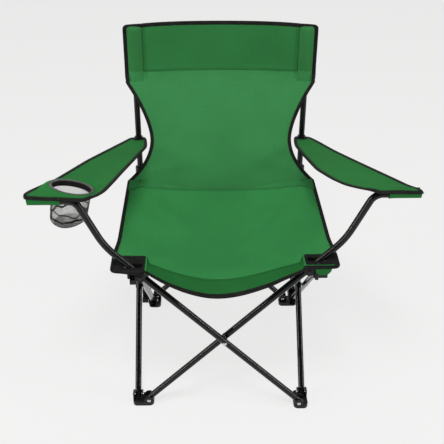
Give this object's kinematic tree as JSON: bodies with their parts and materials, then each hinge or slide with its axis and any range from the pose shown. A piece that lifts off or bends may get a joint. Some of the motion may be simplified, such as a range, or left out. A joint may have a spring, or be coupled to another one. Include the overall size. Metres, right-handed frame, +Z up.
{
  "type": "folding camp chair",
  "caption": "Folding camp chair with a crossed-tube frame, sewn seat and back, sling arm rests and a mesh cup holder.",
  "frame": {"origin": "centre of the object's box on the ground", "axes": "+Z up, -Y towards the front where the sitter's legs go, +X to the right of someone who faces the chair"},
  "size_m": [0.861, 0.5616, 0.8468],
  "materials": {
    "black_tube": "gloss",
    "black_plastic": "satin",
    "green_fabric": "matte",
    "black_fabric": "matte",
    "grey_tape": "matte",
    "mesh": "matte",
    "rivet_steel": "satin"
  },
  "bodies": {
    "foot_rear_left": {"foot_rear_left": "black_plastic", "foot_rivets_rear_left": "rivet_steel"},
    "foot_rear_right": {"foot_rear_right": "black_plastic", "foot_rivets_rear_right": "rivet_steel"},
    "foot_front_left": {"foot_front_left": "black_plastic", "foot_rivets_front_left": "rivet_steel"},
    "foot_front_right": {"foot_front_right": "black_plastic", "foot_rivets_front_right": "rivet_steel"},
    "rear_outer": {"rear_tube_outer": "black_tube", "rear_centre_rivet": "rivet_steel"},
    "rear_inner": {"rear_tube_inner": "black_tube"},
    "left_outer": {"left_tube_outer": "black_tube", "left_centre_rivet": "rivet_steel"},
    "left_inner": {"left_tube_inner": "black_tube"},
    "right_outer": {"right_tube_outer": "black_tube", "right_centre_rivet": "rivet_steel"},
    "right_inner": {"right_tube_inner": "black_tube"},
    "front_outer": {"front_tube_outer": "black_tube", "front_centre_rivet": "rivet_steel", "arm_tube_plug_left": "black_plastic", "arm_pocket_left": "green_fabric"},
    "front_inner": {"front_tube_inner": "black_tube", "arm_tube_plug_right": "black_plastic", "arm_pocket_right": "green_fabric"},
    "hub_front_left": {"hub_front_left": "black_plastic", "hub_rivets_front_left": "rivet_steel", "corner_patch_left": "black_fabric", "patch_screw_left": "rivet_steel"},
    "hub_front_right": {"hub_front_right": "black_plastic", "hub_rivets_front_right": "rivet_steel", "corner_patch_right": "black_fabric", "patch_screw_right": "rivet_steel"},
    "slider_left": {"slider_left": "black_plastic", "slider_rivets_left": "rivet_steel", "seat_screw_left": "rivet_steel"},
    "slider_right": {"slider_right": "black_plastic", "slider_rivets_right": "rivet_steel", "seat_screw_right": "rivet_steel"},
    "post_left": {"post_left": "black_tube", "post_cap_left": "black_plastic", "sleeve_left": "green_fabric", "back_panel": "green_fabric", "headrest_band": "green_fabric"},
    "post_right": {"post_right": "black_tube", "post_cap_right": "black_plastic", "sleeve_right": "green_fabric"},
    "loop_left": {"stop_ring_left": "black_plastic", "arm_loop_left": "black_fabric"},
    "loop_right": {"stop_ring_right": "black_plastic", "arm_loop_right": "black_fabric"},
    "seat_rear_half": {"seat_rear": "green_fabric"},
    "seat_front_half": {"seat_front": "green_fabric"},
    "lumbar": {"back_lumbar": "green_fabric"},
    "waist": {"back_waist": "green_fabric"},
    "arm_left": {"arm_panel_left": "green_fabric", "cup_ring": "grey_tape", "cup_bag": "mesh"},
    "arm_right": {"arm_panel_right": "green_fabric"}
  },
  "joints": [
    {"name": "fold", "type": "hinge", "parent": "foot_rear_left", "child": "rear_outer", "pos_m": [-0.1945, 0.1912, 0.018], "axis": [0, -1, 0], "range_deg": [0, 38]},
    {"name": "rear_cross", "type": "hinge", "parent": "rear_outer", "child": "rear_inner", "pos_m": [0, 0.1822, 0.2235], "axis": [0, 1, 0], "range_deg": [0, 76.02]},
    {"name": "rear_right_foot", "type": "hinge", "parent": "rear_inner", "child": "foot_rear_right", "pos_m": [0.1945, 0.1732, 0.018], "axis": [0, -1, 0], "range_deg": [0, 38.02]},
    {"name": "left_inner_foot", "type": "hinge", "parent": "foot_rear_left", "child": "left_inner", "pos_m": [-0.206, 0.1617, 0.018], "axis": [-1, 0, 0], "range_deg": [0, 38.02]},
    {"name": "left_cross", "type": "hinge", "parent": "left_inner", "child": "left_outer", "pos_m": [-0.215, -0.0328, 0.2235], "axis": [1, 0, 0], "range_deg": [0, 76.02]},
    {"name": "front_left_foot", "type": "hinge", "parent": "left_outer", "child": "foot_front_left", "pos_m": [-0.224, -0.2273, 0.018], "axis": [-1, 0, 0], "range_deg": [0, 38.02]},
    {"name": "front_left_hub", "type": "hinge", "parent": "left_inner", "child": "hub_front_left", "pos_m": [-0.206, -0.2273, 0.429], "axis": [1, 0, 0], "range_deg": [0, 38.02]},
    {"name": "left_slider_pin", "type": "hinge", "parent": "left_outer", "child": "slider_left", "pos_m": [-0.224, 0.1617, 0.429], "axis": [-1, 0, 0], "range_deg": [0, 38.02]},
    {"name": "right_slider_pin", "type": "hinge", "parent": "rear_outer", "child": "slider_right", "pos_m": [0.1945, 0.1912, 0.429], "axis": [0, 1, 0], "range_deg": [0, 38.02]},
    {"name": "front_inner_foot", "type": "hinge", "parent": "foot_front_left", "child": "front_inner", "pos_m": [-0.1945, -0.2388, 0.018], "axis": [0, -1, 0], "range_deg": [0, 38.02]},
    {"name": "front_cross", "type": "hinge", "parent": "front_inner", "child": "front_outer", "pos_m": [0, -0.2478, 0.2235], "axis": [0, 1, 0], "range_deg": [0, 76.02]},
    {"name": "right_outer_foot", "type": "hinge", "parent": "foot_rear_right", "child": "right_outer", "pos_m": [0.224, 0.1617, 0.018], "axis": [-1, 0, 0], "range_deg": [0, 38.02]},
    {"name": "right_cross", "type": "hinge", "parent": "right_outer", "child": "right_inner", "pos_m": [0.215, -0.0328, 0.2235], "axis": [1, 0, 0], "range_deg": [0, 76.02]},
    {"name": "front_right_foot", "type": "hinge", "parent": "right_inner", "child": "foot_front_right", "pos_m": [0.206, -0.2273, 0.018], "axis": [-1, 0, 0], "range_deg": [0, 38.02]},
    {"name": "front_right_hub", "type": "hinge", "parent": "right_outer", "child": "hub_front_right", "pos_m": [0.224, -0.2273, 0.429], "axis": [1, 0, 0], "range_deg": [0, 38.02]},
    {"name": "left_post_foot", "type": "hinge", "parent": "foot_rear_left", "child": "post_left", "pos_m": [-0.228, 0.2077, 0.018], "axis": [1, 0, 0], "range_deg": [0, 1.27], "deforming": ["back_panel", "headrest_band"]},
    {"name": "right_post_foot", "type": "hinge", "parent": "foot_rear_right", "child": "post_right", "pos_m": [0.228, 0.2077, 0.018], "axis": [1, 0, 0], "range_deg": [0, 1.27]},
    {"name": "left_loop_slide", "type": "slide", "parent": "post_left", "child": "loop_left", "axis": [0, 0.0698, 0.9976], "range_m": [0, 0.1001]},
    {"name": "right_loop_slide", "type": "slide", "parent": "post_right", "child": "loop_right", "axis": [0, 0.0698, 0.9976], "range_m": [0, 0.1001]},
    {"name": "seat_rear_fold", "type": "hinge", "parent": "slider_left", "child": "seat_rear_half", "pos_m": [0, 0.1572, 0.455], "axis": [1, 0, 0], "range_deg": [0, 66.56], "deforming": ["seat_rear"]},
    {"name": "seat_front_fold", "type": "hinge", "parent": "hub_front_left", "child": "seat_front_half", "pos_m": [0, -0.2608, 0.455], "axis": [-1, 0, 0], "range_deg": [0, 58.67], "deforming": ["seat_front"]},
    {"name": "lumbar_fold", "type": "hinge", "parent": "seat_rear_half", "child": "lumbar", "pos_m": [0, 0.1392, 0.44], "axis": [-1, 0, 0], "range_deg": [0, 14.21], "deforming": ["back_lumbar"]},
    {"name": "waist_fold", "type": "hinge", "parent": "post_left", "child": "waist", "pos_m": [0, 0.2452, 0.697], "axis": [-1, 0, 0], "range_deg": [0, 69.47], "deforming": ["back_waist"]},
    {"name": "left_arm_fold", "type": "hinge", "parent": "front_outer", "child": "arm_left", "pos_m": [-0.384, -0.2568, 0.633], "axis": [-0.865, 0.1727, -0.4711], "range_deg": [0, 36.71], "deforming": ["arm_panel_left", "cup_ring", "cup_bag"]},
    {"name": "right_arm_fold", "type": "hinge", "parent": "front_inner", "child": "arm_right", "pos_m": [0.384, -0.2388, 0.633], "axis": [-0.8587, -0.1749, 0.4817], "range_deg": [0, 39.19], "deforming": ["arm_panel_right"]}
  ],
  "couplings": [
    {"joint": "rear_cross", "follows": "fold", "ratio": 2},
    {"joint": "rear_right_foot", "follows": "fold", "ratio": 1},
    {"joint": "left_inner_foot", "follows": "fold", "ratio": 1},
    {"joint": "left_cross", "follows": "fold", "ratio": 2},
    {"joint": "front_left_foot", "follows": "fold", "ratio": 1},
    {"joint": "front_left_hub", "follows": "fold", "ratio": 1},
    {"joint": "left_slider_pin", "follows": "fold", "ratio": 1},
    {"joint": "right_slider_pin", "follows": "fold", "ratio": 1},
    {"joint": "front_inner_foot", "follows": "fold", "ratio": 1},
    {"joint": "front_cross", "follows": "fold", "ratio": 2},
    {"joint": "right_outer_foot", "follows": "fold", "ratio": 1},
    {"joint": "right_cross", "follows": "fold", "ratio": 2},
    {"joint": "front_right_foot", "follows": "fold", "ratio": 1},
    {"joint": "front_right_hub", "follows": "fold", "ratio": 1},
    {"joint": "left_post_foot", "follows": "fold", "ratio": 0.033},
    {"joint": "right_post_foot", "follows": "fold", "ratio": 0.033},
    {"joint": "left_loop_slide", "follows": "fold", "m_per_rad": 0.15078},
    {"joint": "right_loop_slide", "follows": "fold", "m_per_rad": 0.15078},
    {"joint": "seat_rear_fold", "follows": "fold", "ratio": 1.751},
    {"joint": "seat_front_fold", "follows": "fold", "ratio": 1.5435},
    {"joint": "lumbar_fold", "follows": "fold", "ratio": 0.3734},
    {"joint": "waist_fold", "follows": "fold", "ratio": 1.8275},
    {"joint": "left_arm_fold", "follows": "fold", "ratio": 0.9654},
    {"joint": "right_arm_fold", "follows": "fold", "ratio": 1.0308}
  ]
}
